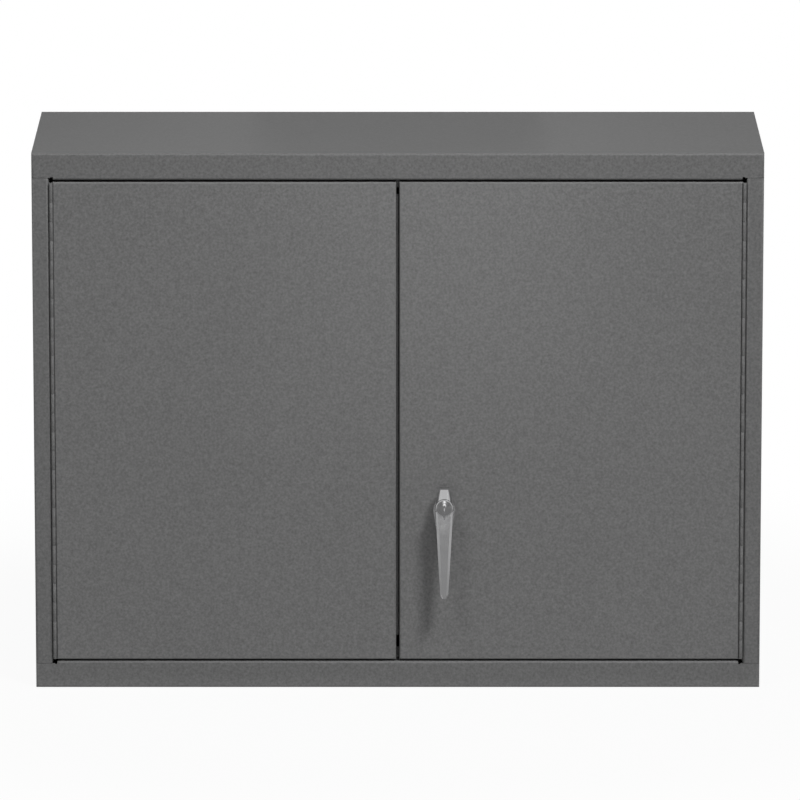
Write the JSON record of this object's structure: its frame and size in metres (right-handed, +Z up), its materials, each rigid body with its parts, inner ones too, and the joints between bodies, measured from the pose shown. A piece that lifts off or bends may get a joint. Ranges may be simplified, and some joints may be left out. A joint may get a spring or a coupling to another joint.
{
  "type": "tool cabinet with doors",
  "caption": "Welded sheet-steel tool cabinet with flush hinged doors, a locking lever handle that drives two latch rods, and adjustable shelves inside.",
  "frame": {"origin": "centre of the flat underside of the base", "axes": "+Z up, +X to the right seen from the front, -Y out of the doors towards the user"},
  "size_m": [0.9144, 0.3402, 0.6858],
  "materials": {
    "powder_coat": "fine-grained satin powder coat",
    "zinc_plate": "bright zinc plate",
    "chrome_plate": "polished chrome plate"
  },
  "bodies": {
    "cabinet": {"top_panel": "powder_coat", "bottom_panel": "powder_coat", "left_side_panel": "powder_coat", "right_side_panel": "powder_coat", "back_panel": "powder_coat", "left_front_standard": "zinc_plate", "left_rear_standard": "zinc_plate", "right_front_standard": "zinc_plate", "right_rear_standard": "zinc_plate", "upper_shelf": "powder_coat", "lower_shelf": "powder_coat", "upper_shelf_clips": "zinc_plate", "lower_shelf_clips": "zinc_plate", "left_frame_leaf": "powder_coat", "right_frame_leaf": "powder_coat", "left_hinge_pin": "powder_coat", "right_hinge_pin": "powder_coat"},
    "left_door": {"left_door_panel": "powder_coat", "left_door_stiffener": "powder_coat", "left_door_leaf": "powder_coat", "astragal": "powder_coat"},
    "right_door": {"right_door_panel": "powder_coat", "right_door_stiffener": "powder_coat", "right_door_leaf": "powder_coat", "handle_rose": "chrome_plate", "handle_back_plate": "zinc_plate", "handle_screws": "zinc_plate", "upper_rod_guide": "zinc_plate", "lower_rod_guide": "zinc_plate"},
    "handle": {"lever_handle": "chrome_plate", "lock_barrel": "chrome_plate", "handle_spindle": "zinc_plate", "latch_cam": "zinc_plate", "cam_pins": "zinc_plate"},
    "lock_plug": {"lock_plug": "chrome_plate"},
    "top_rod": {"top_latch_rod": "zinc_plate"},
    "bottom_rod": {"bottom_latch_rod": "zinc_plate"}
  },
  "joints": [
    {"name": "left_door_hinge", "type": "hinge", "parent": "cabinet", "child": "left_door", "pos_m": [-0.4329, -0.1529, 0.34], "axis": [0, 0, -1], "range_deg": [0, 175]},
    {"name": "right_door_hinge", "type": "hinge", "parent": "cabinet", "child": "right_door", "pos_m": [0.4329, -0.1529, 0.34], "axis": [0, 0, 1], "range_deg": [0, 175]},
    {"name": "handle_turn", "type": "hinge", "parent": "right_door", "child": "handle", "pos_m": [0.0584, -0.16, 0.24], "axis": [0, -1, 0], "range_deg": [0, 90]},
    {"name": "key_turn", "type": "hinge", "parent": "handle", "child": "lock_plug", "pos_m": [0.0584, -0.18, 0.24], "axis": [0, -1, 0], "range_deg": [0, 90]},
    {"name": "top_rod_slide", "type": "slide", "parent": "right_door", "child": "top_rod", "axis": [0, 0, 1], "range_m": [0, 0.014]},
    {"name": "bottom_rod_slide", "type": "slide", "parent": "right_door", "child": "bottom_rod", "axis": [0, 0, -1], "range_m": [0, 0.014]}
  ],
  "couplings": [
    {"joint": "top_rod_slide", "follows": "handle_turn", "m_per_rad": 0.0089126},
    {"joint": "bottom_rod_slide", "follows": "handle_turn", "m_per_rad": 0.0089126}
  ]
}
